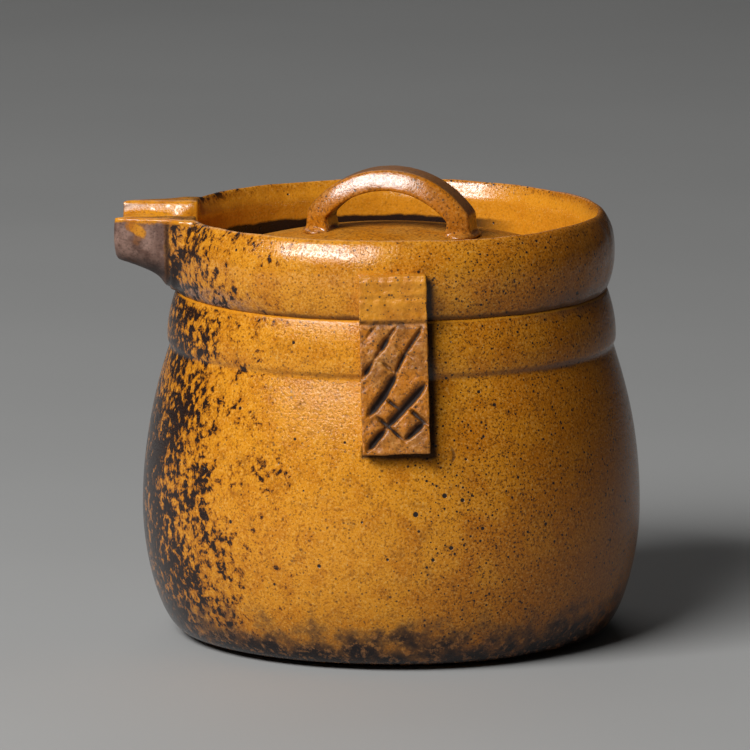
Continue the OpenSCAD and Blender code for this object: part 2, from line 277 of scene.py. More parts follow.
def alter(piece, kind, **settings):
    """Gives a piece a modifier with its settings and applies it."""
    modifier = piece.modifiers.new(kind.title(), kind)
    for key, value in settings.items():
        setattr(modifier, key, value)
    pick(piece)
    bpy.ops.object.modifier_apply(modifier=modifier.name)


def cut(piece, tool, operation="DIFFERENCE"):
    """Cuts a shape out of a piece, or joins it or keeps what both share, and removes the shape."""
    alter(piece, "BOOLEAN", operation=operation, solver="MANIFOLD", object=tool)
    bpy.data.objects.remove(tool)


def knead(piece, grain, passes):
    """Gives a piece an even mesh and smooths it, which rounds its edges as soft clay does."""
    alter(piece, "REMESH", mode="VOXEL", voxel_size=grain)
    alter(piece, "SMOOTH", factor=0.5, iterations=passes)
    bpy.ops.object.shade_smooth()


def press(piece, size, depth):
    """Gives a surface shallow dents of a size and depth, as fingers leave them."""
    texture = bpy.data.textures.new("Dents", "CLOUDS")
    texture.noise_scale = size
    texture.noise_depth = 1
    alter(piece, "DISPLACE", texture=texture, texture_coords="LOCAL", strength=depth)
    bpy.data.textures.remove(texture)


def share(value):
    """A value held between 0 and 1."""
    return min(1.0, max(0.0, value))


def mark_carving(piece, face_r, half, full):
    """Stores how deep the strokes lie below the plain face in the attribute Carved, from 0 to 1."""
    carved = piece.data.attributes.new("Carved", "FLOAT", "POINT")
    for point in piece.data.vertices:
        if point.normal.y < -0.15:
            within = share((half - abs(point.co.x)) / (0.7 * MM))
            carved.data[point.index].value = within * share((face_r(point.co.z) + point.co.y) / full)


def mark_inside(piece):
    """Stores 1 in the attribute Inner where a thrown wall faces the middle of the pot or upwards."""
    inner = piece.data.attributes.new("Inner", "FLOAT", "POINT")
    for point in piece.data.vertices:
        inner.data[point.index].value = float(point.normal.xy.dot(point.co.xy) < 0 or point.normal.z > 0.5)


def curve(a, b, c, d, steps=20):
    """Points along a cubic curve from a to d with the handles b and c, without a."""
    a, b, c, d = (Vector(p) for p in (a, b, c, d))
    row = []
    for i in range(1, steps + 1):
        t = i / steps
        s = 1 - t
        row.append(s ** 3 * a + 3 * s * s * t * b + 3 * s * t * t * c + t ** 3 * d)
    return row


def soften(outline, step, passes):
    """Walks along an outline in even steps and averages neighbours, which rounds its corners."""
    points = [Vector(p) for p in outline]
    walk = [points[0]]
    for a, b in zip(points, points[1:]):
        count = max(1, round((b - a).length / step))
        walk += [a.lerp(b, i / count) for i in range(1, count + 1)]
    for _ in range(passes):
        walk = walk[:1] + [(a + 2 * b + c) / 4 for a, b, c in zip(walk, walk[1:], walk[2:])] + walk[-1:]
    return walk


def radius_at(outline, z):
    """Radius of a rising outline at a height."""
    for a, b in zip(outline, outline[1:]):
        if a[1] <= z <= b[1] and b[1] > a[1]:
            return a[0] + (b[0] - a[0]) * (z - a[1]) / (b[1] - a[1])
    raise ValueError("the outline doesn't reach that height")


def ring(start, end, low, high):
    """Closed outline of a square ring between two radii, from the middle of the wall at the first and back."""
    middle = (start, (low + high) / 2)
    return [middle, (start, high), (end, high), (end, low), (start, low), middle]


def layout(scene):
    """Radii and heights that follow from the sizes, as the CAD model derives them."""
    pot, lid = scene.teapot_pot, scene.teapot_lid
    at = SimpleNamespace()
    at.floor_z = pot.foot_h + pot.floor_t
    at.groove_r = pot.bore_r + pot.neck_wall
    at.seam_r = pot.bore_r + pot.seam_wall
    at.collar_h = pot.rim_z - pot.seam_z
    at.collar_r = at.seam_r + pot.collar_swell
    at.lip_r = pot.bore_r + pot.lip_w
    at.lip_z = pot.rim_z - pot.lip_round * (1 - math.sin(pot.lip_slope))
    at.full_z = pot.seam_z + 0.47 * at.collar_h
    at.ledge_z = pot.seam_z + lid.ledge_lap
    at.ledge_r = pot.bore_r - lid.ledge_w
    at.lid_r = pot.bore_r - lid.gap
    at.crown_z = at.ledge_z + lid.edge_t + lid.rise
    at.flange_r = at.ledge_r - lid.flange_gap
    at.hollow_r = at.flange_r - lid.flange_t

    def dome(r):
        """Height of the lid's upper face at a radius."""
        return at.crown_z - lid.rise * (r / at.lid_r) ** 2

    at.dome = dome
    return at


def belly_outline(scene):
    """Outside of the pot from the bottom edge up to the seam, as radius and height."""
    pot, at = scene.teapot_pot, layout(scene)
    low = pot.belly_z - pot.foot_h
    high = pot.groove_z - pot.belly_z
    neck = pot.seam_z - pot.groove_z
    edge, widest = (pot.base_r, pot.foot_h), (pot.belly_r, pot.belly_z)
    row = [Vector(edge)]
    row += curve(edge, (pot.base_r + 0.44 * (pot.belly_r - pot.base_r), pot.foot_h + 0.03 * low),
                 (pot.belly_r, pot.belly_z - FALL_PULL * low), widest)
    row += curve(widest, (pot.belly_r, pot.belly_z + RISE_PULL * high),
                 (at.groove_r + GROOVE_PULL * GROOVE_PULL * high, pot.groove_z - GROOVE_PULL * high),
                 (at.groove_r, pot.groove_z))
    step = Vector((at.groove_r + 0.45 * pot.neck_swell, pot.groove_z + 0.03 * neck))
    row += [step] + curve(step, (at.groove_r + 0.7 * pot.neck_swell, pot.groove_z + 0.2 * neck),
                          (at.groove_r + 0.4 * pot.neck_swell, pot.groove_z + 0.6 * neck), (at.seam_r, pot.seam_z))
    return row


def collar_outline(scene):
    """Outside of the collar from the seam up and over the lip to the bore, as radius and height."""
    pot, at = scene.teapot_pot, layout(scene)
    low, high = at.full_z - pot.seam_z, at.lip_z - at.full_z
    seam, widest = (at.seam_r, pot.seam_z), (at.collar_r, at.full_z)
    row = [Vector(seam)]
    row += curve(seam, (at.seam_r + 0.35 * pot.collar_swell, pot.seam_z + 0.1 * low),
                 (at.collar_r, at.full_z - 0.45 * low), widest)
    row += curve(widest, (at.collar_r, at.full_z + 0.4 * high),
                 (at.lip_r + 0.36 * high * math.tan(pot.lip_slope), at.lip_z - 0.36 * high), (at.lip_r, at.lip_z))
    turns = [pot.lip_slope + (math.pi / 2 - pot.lip_slope) * i / LIP_STEPS for i in range(1, LIP_STEPS + 1)]
    row += [Vector((at.lip_r + pot.lip_round * (math.cos(q) - math.cos(pot.lip_slope)),
                    pot.rim_z - pot.lip_round * (1 - math.sin(q)))) for q in turns]
    row += [Vector((pot.bore_r + a * pot.slope_w, pot.rim_z - b * pot.slope_h)) for a, b in LIP_INSIDE]
    return row


def trough(scene, name):
    """Cutter for the channel that runs through the collar and along the beak."""
    pot, spout, at = scene.teapot_pot, scene.teapot_spout, layout(scene)
    run_in = 6 * MM
    climb = (at.collar_h - spout.tip_h + spout.floor_t - spout.sill_h) / (spout.tip_x - pot.bore_r)
    half = spout.tip_w / 2 - spout.wall
    corner = 0.66 * half
    x = run_in - pot.bore_r
    z = pot.seam_z + spout.sill_h - run_in * climb
    height = 1.4 * at.collar_h
    side = [(half - corner + corner * math.sin(q), corner - corner * math.cos(q))
            for q in (math.pi / 2 * i / 8 for i in range(9))]
    side.append((half + spout.slant, 0.75 * at.collar_h))
    side.append((half + spout.slant, height))
    outline = [Vector((x, -y, z + h)) for y, h in reversed(side)] + [Vector((x, y, z + h)) for y, h in side]
    reach = spout.tip_x - pot.bore_r + 3 * run_in
    return slab(name, outline, Vector((-reach, 0, reach * climb)))


def lip_slope(scene, name):
    """Cutter for the sloping upper edge of the channel."""
    pot, spout = scene.teapot_pot, scene.teapot_spout
    low = spout.tip_w / 2 - spout.wall
    high = low + spout.slant + spout.edge
    run_in, depth, over, reach = 3 * MM, 2.3 * MM, 0.9 * MM, 30 * MM
    rise = 5 * MM
    x, z = run_in - pot.bore_r, pot.rim_z - depth
    corners = ((-high - over, rise), (-low, 0), (low, 0), (high + over, rise))
    piece = slab(name, [Vector((x, y, z + h)) for y, h in corners], Vector((-reach, 0, 0)))
    for point in piece.data.vertices:
        if point.co.x < x - MM:
            point.co.y += math.copysign(spout.spread, point.co.y)
    return piece


def dress(piece, node, body, material):
    """Gives a piece its glaze, puts it in place of its CAD node and sets it on its body."""
    piece.data.materials.clear()
    piece.data.materials.append(material)
    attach(piece, body)
    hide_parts(node)


class Value:
    """A shader value, so that sums of nodes read as sums.

    Masks meet with a * b, join with a | b, which takes the higher, and turn over with ~a, which is 1 - a.
    """

    def __init__(self, bench, socket):
        self.bench, self.socket = bench, socket

    def math(self, operation, *others, clamp=False):
        """One sum of this value and others."""
        return self.bench.take("ShaderNodeMath", enumerate((self, *others)), operation=operation, use_clamp=clamp)

    __add__ = partialmethod(math, "ADD")
    __sub__ = partialmethod(math, "SUBTRACT")
    __mul__ = partialmethod(math, "MULTIPLY")
    __truediv__ = partialmethod(math, "DIVIDE")
    __pow__ = partialmethod(math, "POWER")
    __or__ = partialmethod(math, "MAXIMUM")
    __abs__ = partialmethod(math, "ABSOLUTE")
    __neg__ = partialmethod(math, "MULTIPLY", -1.0)

    def __rsub__(self, constant):
        return self.bench.take("ShaderNodeMath", {0: constant, 1: self}, operation="SUBTRACT")

    def __invert__(self):
        return self.bench.take("ShaderNodeMath", {0: 1.0, 1: self}, operation="SUBTRACT", use_clamp=True)

    def ramp(self, low, high, to_low=0.0, to_high=1.0):
        """A smooth step of the value between two limits."""
        return self.bench.take("ShaderNodeMapRange", {
            "Value": self, "From Min": low, "From Max": high, "To Min": to_low, "To Max": to_high},
            interpolation_type="SMOOTHSTEP")

    def noise(self, scale, detail=2.0, rough=0.5, swirl=0.0):
        """Cloudy noise at a point, with a number of features per metre."""
        return self.bench.take("ShaderNodeTexNoise", {
            "Vector": self, "Scale": scale, "Detail": detail, "Roughness": rough, "Distortion": swirl}, "Fac")

    def spots(self, scale):
        """Scattered points: the distance to the nearest one and two random values of it."""
        node = self.bench.add("ShaderNodeTexVoronoi", {"Vector": self, "Scale": scale})
        near, chance = (Value(self.bench, node.outputs[key]) for key in ("Distance", "Color"))
        first, second, _ = self.bench.outputs(self.bench.add("ShaderNodeSeparateColor", {0: chance})).values()
        return near, first, second

    def split(self):
        """The three coordinates of a point."""
        return self.bench.outputs(self.bench.add("ShaderNodeSeparateXYZ", {0: self})).values()

    def mapped(self, **values):
        """A point scaled, turned or moved."""
        return self.bench.take("ShaderNodeMapping", {"Vector": self, **values})

    def length(self):
        """The distance of a point from the origin."""
        return self.bench.take("ShaderNodeVectorMath", {0: self}, "Value", operation="LENGTH")

    def distance(self, place):
        """The distance of a point from a place in millimetres."""
        return self.bench.take("ShaderNodeVectorMath", {0: self, 1: Vector(place) * MM}, "Value", operation="DISTANCE")


class Bench:
    """Lays the shader nodes of one tree."""

    def __init__(self, tree):
        self.tree = tree
        self.count = 0

    def feed(self, socket, value):
        """Links a value to a socket, or sets a constant on it."""
        if isinstance(value, Value):
            self.tree.links.new(value.socket, socket)
        else:
            socket.default_value = (*value, 1.0) if socket.type == "RGBA" else value

    def add(self, kind, values=(), **settings):
        """Adds a node with its settings and the values of its inputs."""
        node = self.tree.nodes.new(kind)
        row, column = divmod(self.count, 12)
        node.location = (column * 190, row * -320)
        self.count += 1
        for key, value in settings.items():
            setattr(node, key, value)
        for key, value in dict(values).items():
            self.feed(node.inputs[key], value)
        return node

    def take(self, kind, values=(), output=0, **settings):
        """Adds a node and gives one of its outputs."""
        return Value(self, self.add(kind, values, **settings).outputs[output])

    def outputs(self, node):
        """All outputs of a node by name."""
        return {socket.name: Value(self, socket) for socket in node.outputs}

    def blend(self, mask, under, over):
        """One colour laid over another where a mask is high."""
        return self.take("ShaderNodeMix", {0: mask, 6: under, 7: over}, 2, data_type="RGBA")

    def layers(self, base, *coats):
        """Colours laid over a base one by one, each where its mask is high."""
        for mask, over in coats:
            base = self.blend(mask, base, over)
        return base

    def group(self, tree, **values):
        """Places a node group, with spaces in its socket names written as underscores."""
        values = {key.replace("_", " "): value for key, value in values.items()}
        return self.outputs(self.add("ShaderNodeGroup", values, node_tree=tree))

    def deliver(self, **results):
        """Ends a node group with its results and gives its tree."""
        self.add("NodeGroupOutput", results)
        return self.tree


def new_group(name, inputs, outputs):
    """The bench and the inputs of a new node group, which has a Vector input, named values and named outputs."""
    tree = bpy.data.node_groups.new(name, "ShaderNodeTree")
    tree.interface.new_socket(name="Vector", in_out="INPUT", socket_type="NodeSocketVector")
    for key, value in inputs.items():
        tree.interface.new_socket(name=key, in_out="INPUT", socket_type="NodeSocketFloat").default_value = value
    for key in outputs:
        tree.interface.new_socket(name=key, in_out="OUTPUT", socket_type="NodeSocketFloat")
    bench = Bench(tree)
    return bench, bench.outputs(bench.add("NodeGroupInput"))


def iron_specks():
    """Dark iron in the glaze: fine specks, small round dots and pinholes."""
    bench, given = new_group(
        "Iron specks", {"Fine Share": 0.7, "Dots Share": 0.85, "Pits Share": 0.45}, ("Fine", "Dots", "Pits"))
    # For each kind, spots per metre, least size, how much larger a spot may be, and the sharpness of its edge
    kinds = {"Fine": ((1700.0, 0.11, 0.16, 12.0),),
             "Dots": ((640.0, 0.10, 0.09, 22.0), (980.0, 0.12, 0.12, 16.0)),
             "Pits": ((310.0, 0.06, 0.06, 30.0), (135.0, 0.045, 0.03, 60.0))}
    specks = {}
    for key, sizes in kinds.items():
        marks = []
        for scale, least, more, edge in sizes:
            near, chance, draw = given["Vector"].spots(scale)
            mark = (chance.math("MULTIPLY_ADD", more, least) - near).math("MULTIPLY", edge, clamp=True)
            marks.append(mark * draw.math("LESS_THAN", given[key + " Share"]))
        specks[key] = marks[0] | marks[-1]
    return bench.deliver(**specks)


def ash_grain():
    """Salt-and-pepper grain of the ash glaze."""
    bench, given = new_group("Ash grain", {"Scale": 2900.0}, ("Grain", "Pale", "Dark"))
    grain = given["Vector"].noise(given["Scale"], 2.0, 0.7)
    return bench.deliver(Grain=grain, Pale=grain.ramp(0.54, 0.68), Dark=grain.ramp(0.48, 0.34))


def kiln_scorch():
    """Ragged scorch marks that grow denser towards the side that faced the fire, which is the spout's."""
    bench, given = new_group(
        "Kiln scorch", {"Start": 0.006, "Full": 0.046, "Rare": 0.79, "Dense": 0.385}, ("Char", "Bloom"))
    where = given["Vector"]
    x, *_ = where.split()
    edge = bench.take("ShaderNodeMapRange", {
        "Value": -x, "From Min": given["Start"], "From Max": given["Full"],
        "To Min": given["Rare"], "To Max": given["Dense"]})
    cluster = where.noise(120.0)
    blotch = where.mapped(Scale=(1.0, 1.0, 0.95)).noise(700.0, 6.0, 0.66, 0.3)
    over = blotch + (cluster - 0.5) * 0.36 - edge
    return bench.deliver(Char=over.ramp(-0.035, 0.05, 0.0, 0.98), Bloom=over.ramp(-0.12, 0.01))


def beak_finish(scene):
    """Where the beak is smoked dry, where its rim and channel are wet with glaze, and its luting crease."""
    pot, spout = scene.teapot_pot, scene.teapot_spout
    bench, given = new_group(
        "Beak finish", {"Rim": pot.rim_z, "Root": spout.seam_x, "Half": spout.tip_w / 2},
        ("Smoke", "Wet", "Crease", "Low"))
    where = given["Vector"]
    x, y, z = where.split()
    left, down = -x, given["Rim"] - z
    ragged = (where.noise(420.0, 4.0, 0.6) - 0.5) * (2.6 * MM)
    rim = (down - ragged * 0.7).ramp(1.2 * MM, 0.6 * MM)
    across = abs(y) + ragged * 0.3
    sunk = down - (spout.tip_x - left) * 0.38 + ragged * 0.15
    thin = given["Half"] - across - down.ramp(4.3 * MM, 5.3 * MM, 0.0, 1.2 * MM)
    channel = thin.ramp(MM, 2 * MM) * sunk.ramp(6.5 * MM, 6.1 * MM)
    away = where.mapped(Location=(44.6 * MM, 0.0, 2.1 * MM - pot.rim_z)).mapped(Rotation=(0.0, -0.6, 0.0))
    far = away.mapped(Scale=(1 / (1.9 * MM), 0.0, 1 / (1.1 * MM))).length() + ragged * 500.0
    drop = far.ramp(1.15, 0.8, 0.0, 0.9) * y.ramp(-8.0 * MM, -9.5 * MM)
    wet = (rim | channel) * left.ramp(34 * MM, 36 * MM) | drop
    dry = ~wet * down.ramp(13.4 * MM, 12.4 * MM)
    past = left + ragged * 0.6 - given["Root"]
    return bench.deliver(
        Smoke=past.ramp(-0.2 * MM, 0.9 * MM) * dry, Wet=wet, Crease=abs(past).ramp(0.75 * MM, 0.15 * MM) * dry,
        Low=(down - ragged).ramp(6.0 * MM, 9.5 * MM))


def dark_height_band():
    """A ragged dark band round the pot at one height: painted shade in the groove and under the collar, and a darker
    foot.
    """
    bench, given = new_group("Pooled band", {"Height": 0.05, "Spread": 0.001}, ("Band",))
    *_, z = given["Vector"].split()
    wave = (given["Vector"].noise(260.0, 4.0) - 0.5) * 1.6
    away = abs((z - given["Height"]) / given["Spread"])
    return bench.deliver(Band=(away + wave).ramp(1.0, 0.1))


def throwing_lines():
    """Fine level lines that the potter's fingers leave on the wheel."""
    bench, given = new_group("Throwing lines", {"Scale": 1.0}, ("Height",))
    flat = given["Vector"].mapped(Scale=(18.0, 18.0, 620.0))
    return bench.deliver(Height=flat.noise(given["Scale"], 2.0, 0.55))


def start_material(name):
    """A new material with its bench, its shader and the Object coordinates."""
    material = bpy.data.materials.new(name)
    material.use_nodes = True
    material.node_tree.nodes.clear()
    bench = Bench(material.node_tree)
    shader = bench.add("ShaderNodeBsdfPrincipled")
    bench.add("ShaderNodeOutputMaterial", {"Surface": Value(bench, shader.outputs[0])})
    return material, bench, shader, bench.take("ShaderNodeTexCoord", output="Object")


def finish_glaze(bench, shader, base, rough, height, depth, coat, level):
    """Feeds a glaze's colour, roughness, relief and gloss to its shader."""
    bump = bench.take("ShaderNodeBump", {"Height": height, "Strength": 1.0, "Distance": depth})
    for key, value in (("Base Color", base), ("Roughness", rough), ("Normal", bump), ("Specular IOR Level", level),
                       ("Coat Weight", coat), ("Coat Roughness", 0.17), ("Coat IOR", 1.65)):
        bench.feed(shader.inputs[key], value)


def fired_glaze(scene, groups, name):
    """Wood-fired amber glaze, specked with iron, scorched towards the spout and smoked dry on the beak, with painted
    shade in its grooves, on its right side, above the lid's seat and beside the lugs.
    """
    glaze, pot, lug, at = scene.teapot_glaze, scene.teapot_pot, scene.teapot_lug, layout(scene)
    _, bench, shader, where = start_material(name)
    x, y, z = where.split()
    left = -x
    grain = bench.group(groups["grain"], Vector=where, Scale=2300.0)
    specks, scorch, beak, lines = (
        bench.group(groups[key], Vector=where) for key in ("specks", "scorch", "beak", "lines"))
    lines, salt = lines["Height"], grain["Grain"]
    # Dark bands round the pot: painted shade in the groove, along the seam and under the collar, and darker towards
    # the foot
    groove, seam, under, foot = (
        bench.group(groups["band"], Vector=where, Height=height, Spread=spread * MM)["Band"] for height, spread in
        ((pot.groove_z, 0.8), (pot.seam_z + 0.3 * MM, 0.9), (pot.seam_z + 0.8 * MM, 3.0), (0.0, 11.5)))
    ragged = (where.noise(300.0, 4.0, 0.6) - 0.5) * MM

    # The outside of the pot, and a painted shadow on the collar's inner wall above the lid's seat
    open_air = ~bench.take("ShaderNodeAttribute", output="Fac", attribute_name="Inner")
    reach = where.mapped(Scale=(1.0, 1.0, 0.0)).length()
    outside = reach.ramp(pot.bore_r + 0.5 * MM, pot.bore_r + 1.5 * MM) * open_air
    inside = ~outside
    groove, seam, foot = (band * open_air for band in (groove, seam, foot))
    level = z + ragged - at.ledge_z
    # Painted shadow on the bore just above the lid's seat, only behind the strap
    seat = level.ramp(6.7 * MM, 6.1 * MM) * level.ramp(1.0 * MM, 3.5 * MM) * x.ramp(0.024, 0.013)

    # The glaze with its grain and specks, with painted shade in the grooves and towards the right
    cloud = where.noise(130.0, 3.0).ramp(0.36, 0.64)
    # Share of the right side: it browns the glaze there as painted shade, and the grain and specks grow denser there
    side = x.ramp(-0.010, 0.034) * outside
    mottle = where.noise(420.0, 4.0, 0.6).ramp(0.52, 0.72)
    patch = where.noise(260.0, 3.0, 0.6).ramp(0.48, 0.66)
    sides = x.ramp(0.018, 0.034, 0.0, 0.65) | left.ramp(0.036, 0.041, 0.0, 0.75)
    clear = inside.ramp(0.0, 1.0, 1.0, 0.35)
    base = bench.layers(
        bench.blend((side * 0.8 + cloud * 0.5).ramp(0.15, 1.15), glaze.ochre, glaze.amber),
        (mottle * 0.5, glaze.rust),
        (patch * 0.45, glaze.amber),
        (grain["Pale"] * 0.35, glaze.straw),
        (grain["Dark"] * side.ramp(0.0, 0.7, 0.55, 1.0), glaze.umber),
        # Painted shade: rust over the right side of the outside
        (x.ramp(0.016, 0.042, 0.0, 0.5) * outside, glaze.rust),
        (scorch["Bloom"] * 0.75, glaze.amber),
        (scorch["Bloom"] ** 3.0 * outside * 0.6, glaze.rust),
        # Painted shade in the neck groove and at its sides, under the collar on the right and along the collar's lower
        # edge
        (groove * x.ramp(-0.024, -0.010, 0.0, 0.45), glaze.rust),
        (under * x.ramp(0.018, 0.034, 0.0, 0.65), glaze.plum),
        (groove * sides, glaze.plum),
        (seam * x.ramp(-0.030, -0.014, 0.3, 0.85), glaze.umber),
        (inside * 0.55, glaze.ochre),
        (specks["Fine"] * side.ramp(0.0, 0.6, 0.4, 0.9) * clear, glaze.iron),
        (specks["Dots"] * side.ramp(0.0, 0.3, 0.6, 1.0) * clear, glaze.iron),
        (left.ramp(0.039, 0.045, 0.0, 0.4) | foot * 0.75, glaze.plum))

    # The dry skin of the beak and the smear of it along the seam
    dry = bench.layers(
        bench.blend(where.noise(240.0, 4.0, 0.6).ramp(0.36, 0.62), glaze.lilac, glaze.plum),
        (where.noise(310.0, 3.0).ramp(0.55, 0.68) * 0.5, glaze.rust),
        (grain["Dark"] * 0.4, glaze.char),
        # Darker towards the bottom of the beak
        (beak["Low"] * 0.75, glaze.char))
    smear = under * outside * left.ramp(0.019, 0.031, 0.0, 0.85) * z.ramp(pot.seam_z, pot.seam_z + 0.3 * MM)
    smear = smear * where.noise(480.0, 4.0, 0.6).ramp(0.36, 0.58, 0.15, 1.0)
    ash = bench.blend(salt.ramp(0.35, 0.65), glaze.plum, glaze.lilac)

    # Scorch, darker patches towards the foot, and painted shadow beside and below the lugs
    # Ragged dark patches, darker towards the foot
    foot_dark = foot * where.noise(700.0, 4.0, 0.7).ramp(0.36, 0.50)
    drop = lug.top_z - z
    across = x * (-y).math("SIGN") - drop * math.tan(lug.lean)
    half = lug.width / 2
    beside = across.ramp(half + 1.7 * MM, half + 0.6 * MM) * across.ramp(0.6 * half, 0.8 * half)
    below = abs(across).ramp(half + 0.6 * MM, half) * drop.ramp(lug.drop - 1.5 * MM, lug.drop - 0.5 * MM)
    lug_shadow = beside * drop.ramp(0.2 * MM, 1.6 * MM) | below
    lug_shadow = lug_shadow * (drop + ragged).ramp(lug.drop + 1.7 * MM, lug.drop + 0.9 * MM)
    # Char colour for scorch, foot patches and the luting crease, and for the painted shadows above the seat and beside
    # the lugs
    char = scorch["Char"] * ~beak["Smoke"] * outside | foot_dark | seat * inside
    char = char | beak["Crease"] * 0.85 | lug_shadow * (outside * 0.9)
    gold = bench.layers(
        bench.blend(where.noise(300.0, 4.0).ramp(0.4, 0.7), glaze.ochre, glaze.amber),
        (grain["Dark"] * 0.6, glaze.rust))

    pits = specks["Pits"]
    for place, size in PINHOLES:
        pits = pits | where.distance(place).ramp(size * MM, 0.7 * size * MM)
    nail = abs(where.distance(NAIL_MARK) - 1.7 * MM).ramp(0.4 * MM, 0.1 * MM)
    nail = nail * x.ramp((NAIL_MARK[0] + 0.9) * MM, (NAIL_MARK[0] + 1.5) * MM)
    base = bench.layers(base, (beak["Smoke"], dry), (smear, ash), (char, glaze.char), (beak["Wet"], gold),
                        (pits | nail * 0.6, glaze.iron))

    # Wet gloss on the collar and the beak's rim, broken up by the grain
    runny = z.ramp(pot.seam_z + 4.0 * MM, pot.seam_z + 8.0 * MM, 0.0, 0.75) * salt.ramp(0.44, 0.56, 0.05, 1.0)
    runny = runny * lines.ramp(0.36, 0.58, 0.5, 1.0) | beak["Wet"] * salt.ramp(0.36, 0.56, 0.4, 1.0)
    runny = runny * ~(beak["Smoke"] | char)
    rough = salt.math("MULTIPLY_ADD", 0.22, 0.08).math("ADD", (beak["Smoke"] | seam) * 0.4, clamp=True)
    height = salt * 0.7 + lines * 0.4 - (pits | nail) * 0.6
    finish_glaze(bench, shader, base, rough, height, 0.12 * MM, runny, 0.32)


def brown_glaze(scene, groups, name, rough_low, rough_more, coat, level):
    """Thin brown ash glaze, dark in the strokes of the lugs with pooled glaze and painted shade, and on the upper side
    of the strap.
    """
    worn, strap = name == "glaze_carved", name == "glaze_strap"
    glaze, pot = scene.teapot_glaze, scene.teapot_pot
    _, bench, shader, where = start_material(name)
    grain = bench.group(groups["grain"], Vector=where, Scale=1900.0)
    specks = bench.group(groups["specks"], Vector=where, Dots_Share=0.85 if worn else 0.5, Pits_Share=0.2)
    cloud = where.noise(170.0, 4.0, 0.6)
    thin = cloud.ramp(0.40, 0.75)
    base = bench.blend(thin, glaze.amber, glaze.toffee)
    mottle = where.noise(480.0, 4.0).ramp(0.5, 0.72) * 0.5
    dark = grain["Dark"] * 0.75
    rough = grain["Grain"].math("MULTIPLY_ADD", rough_more, rough_low)
    strokes = ()
    if worn:
        *_, z = where.split()
        plain = z.ramp(pot.seam_z - 1.0 * MM, pot.seam_z + 1.5 * MM)
        # Painted shade in patches along the fold below the collar's edge
        fold_shade = abs(z - pot.seam_z).ramp(1.1 * MM, 0.3 * MM) * where.noise(520.0, 3.0).ramp(0.42, 0.6)
        base = bench.layers(
            base, (where.noise(330.0, 3.0).ramp(0.44, 0.66, 0.0, 0.75), glaze.rust),
            (plain, bench.blend(thin, glaze.ochre, glaze.amber)), (fold_shade * 0.8, glaze.umber))
        thick = plain.math("MULTIPLY_ADD", -0.75, 1.0)
        mottle, dark = mottle * thick, dark * thick
        carved = bench.take("ShaderNodeAttribute", output="Fac", attribute_name="Carved")
        # Dark in the strokes by their depth: partly pooled glaze, partly painted shade
        strokes = ((carved.ramp(0.16, 0.5, 0.0, 0.8), glaze.umber), (carved.ramp(0.38, 0.68, 0.0, 0.94), glaze.char))
        rough = rough.math("ADD", carved * 0.45, clamp=True)
    elif strap:
        _, across, _ = where.mapped(Rotation=(0.0, 0.0, -scene.teapot_lid.turn)).split()
        upper = (across + cloud * MM).ramp(-2.7 * MM, -1.8 * MM)
        base = bench.blend(upper * 0.7, base, glaze.umber)
        rough = rough.math("ADD", upper * 0.3, clamp=True)
    else:
        base = bench.blend(cloud.ramp(0.3, 0.6, 0.1, 0.45), base, glaze.ochre)
    base = bench.layers(
        base, (mottle, glaze.rust), (grain["Pale"] * 0.16, glaze.straw), (dark, glaze.umber), *strokes,
        ((specks["Fine"] | specks["Dots"]) * 0.8, glaze.iron), (specks["Pits"], glaze.iron))
    if coat:
        coat = grain["Grain"].ramp(0.42, 0.58, 0.1, 1.0) * coat
    height = grain["Grain"] * 0.7 - specks["Pits"] * 0.5
    finish_glaze(bench, shader, base, rough, height, 0.08 * MM if strap else 0.14 * MM, coat, level)


def glazes(scene):
    """The glazes, made once and then found by name."""
    if "glaze_amber" not in bpy.data.materials:
        groups = {"specks": iron_specks(), "grain": ash_grain(), "scorch": kiln_scorch(),
                  "band": dark_height_band(), "lines": throwing_lines(), "beak": beak_finish(scene)}
        fired_glaze(scene, groups, "glaze_amber")
        fired_glaze(scene, groups, "glaze_scorched")
        # Roughness, how much the grain adds to it, gloss coat and specular level
        brown_glaze(scene, groups, "glaze_carved", 0.22, 0.3, 0.0, 0.45)
        brown_glaze(scene, groups, "glaze_lid", 0.55, 0.3, 0.0, 0.05)
        brown_glaze(scene, groups, "glaze_strap", 0.12, 0.24, 0.5, 0.6)
    return bpy.data.materials


class TEAPOT_OT_throw_pot(bpy.types.Operator):
    """Throws the bellied pot with its foot, floor and neck band"""
    bl_idname = "teapot.throw_pot"
    bl_label = "Throw Pot"

    def execute(self, context):
        scene = context.scene
        pot, at = scene.teapot_pot, layout(scene)
        wall = pot.belly_r - pot.belly_wall
        high, low = pot.groove_z - pot.belly_z, pot.belly_z - at.floor_z
        inside = [(pot.bore_r, pot.seam_z), (pot.bore_r, pot.groove_z)]
        inside += curve(inside[1], (pot.bore_r + GROOVE_PULL * GROOVE_PULL * high, pot.groove_z - GROOVE_PULL * high),
                        (wall, pot.belly_z + RISE_PULL * high), (wall, pot.belly_z))
        inside += curve((wall, pot.belly_z), (wall, pot.belly_z - FALL_PULL * low),
                        (pot.base_r - pot.belly_wall / 2, at.floor_z), (pot.foot_r - pot.belly_wall, at.floor_z))
        foot = [(0, 0), (pot.foot_r, 0), (pot.foot_r, pot.foot_h)]
        outline = foot + belly_outline(scene) + inside + [(0, at.floor_z)]
        piece = throw_on_wheel("thrown_pot", soften(outline, step=0.4 * MM, passes=2))
        press(piece, size=26 * MM, depth=pot.dent)
        mark_inside(piece)
        dress(piece, "pot_body", "pot", glazes(scene)["glaze_amber"])
        return {"FINISHED"}


